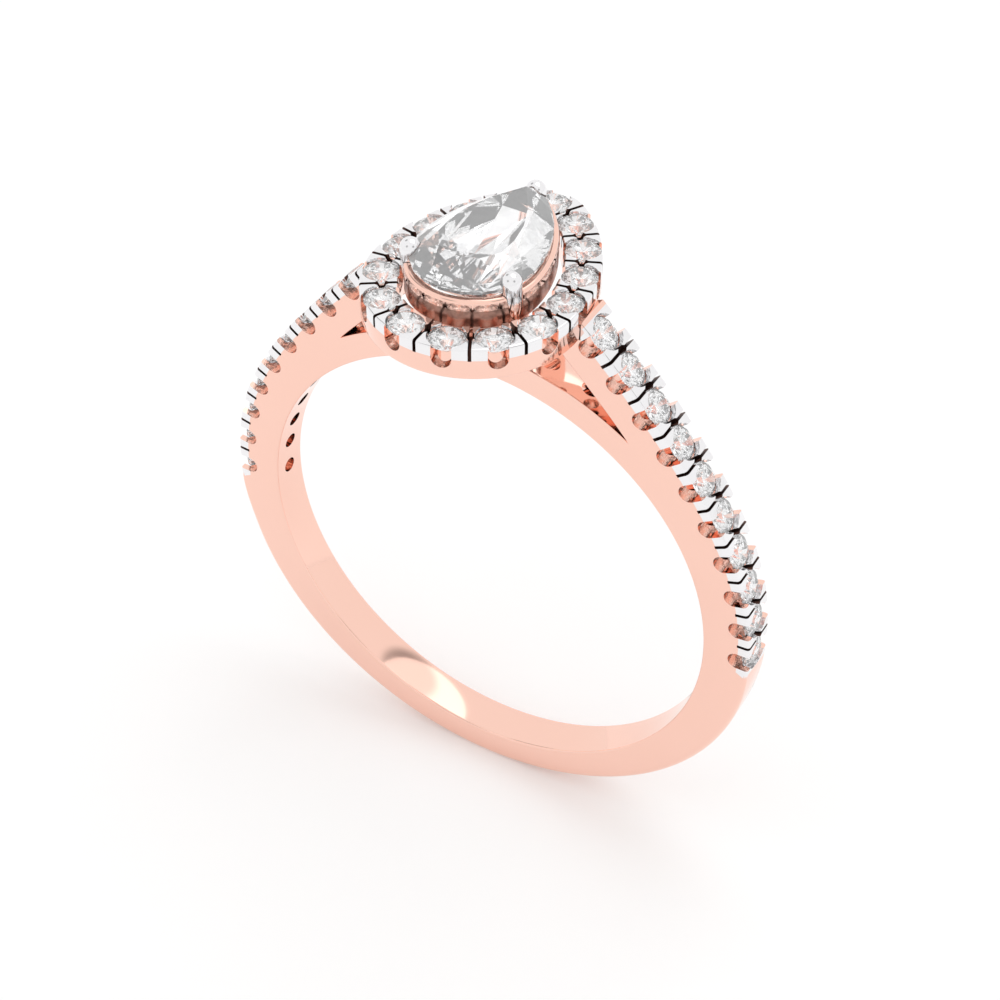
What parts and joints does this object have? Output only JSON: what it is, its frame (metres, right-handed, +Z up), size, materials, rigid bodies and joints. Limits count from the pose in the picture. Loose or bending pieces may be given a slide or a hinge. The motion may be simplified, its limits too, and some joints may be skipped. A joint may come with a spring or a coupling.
{
  "type": "engagement ring",
  "caption": "Rose gold engagement ring with a pear-cut diamond in three claws, a diamond halo and diamond-set cathedral shoulders.",
  "frame": {"origin": "lowest point of the shank, under the middle of the finger hole", "axes": "+Z up through the centre stone, X from shoulder to shoulder, Y along the finger with the pear's point towards +Y"},
  "size_m": [0.0202, 0.009, 0.0235],
  "materials": {
    "rose_gold": "mirror polished",
    "white_gold": "rhodium plated, mirror polished",
    "diamond": "brilliant cut, polished facets"
  },
  "bodies": {
    "root": {"shank": "rose_gold", "halo_gallery": "rose_gold", "basket_upper_rail": "rose_gold", "basket_base_ring": "rose_gold", "claw_right": "white_gold", "claw_left": "white_gold", "claw_point": "white_gold", "centre_diamond": "diamond", "halo_diamond_01": "diamond", "halo_diamond_02": "diamond", "halo_diamond_03": "diamond", "halo_diamond_04": "diamond", "halo_diamond_05": "diamond", "halo_diamond_06": "diamond", "halo_diamond_07": "diamond", "halo_diamond_08": "diamond", "halo_diamond_09": "diamond", "halo_diamond_10": "diamond", "halo_diamond_11": "diamond", "halo_diamond_12": "diamond", "halo_diamond_13": "diamond", "halo_diamond_14": "diamond", "halo_diamond_15": "diamond", "shoulder_diamond_left_01": "diamond", "shoulder_diamond_left_02": "diamond", "shoulder_diamond_left_03": "diamond", "shoulder_diamond_left_04": "diamond", "shoulder_diamond_left_05": "diamond", "shoulder_diamond_left_06": "diamond", "shoulder_diamond_left_07": "diamond", "shoulder_diamond_left_08": "diamond", "shoulder_diamond_left_09": "diamond", "shoulder_diamond_left_10": "diamond", "shoulder_diamond_right_01": "diamond", "shoulder_diamond_right_02": "diamond", "shoulder_diamond_right_03": "diamond", "shoulder_diamond_right_04": "diamond", "shoulder_diamond_right_05": "diamond", "shoulder_diamond_right_06": "diamond", "shoulder_diamond_right_07": "diamond", "shoulder_diamond_right_08": "diamond", "shoulder_diamond_right_09": "diamond", "shoulder_diamond_right_10": "diamond"}
  },
  "joints": []
}
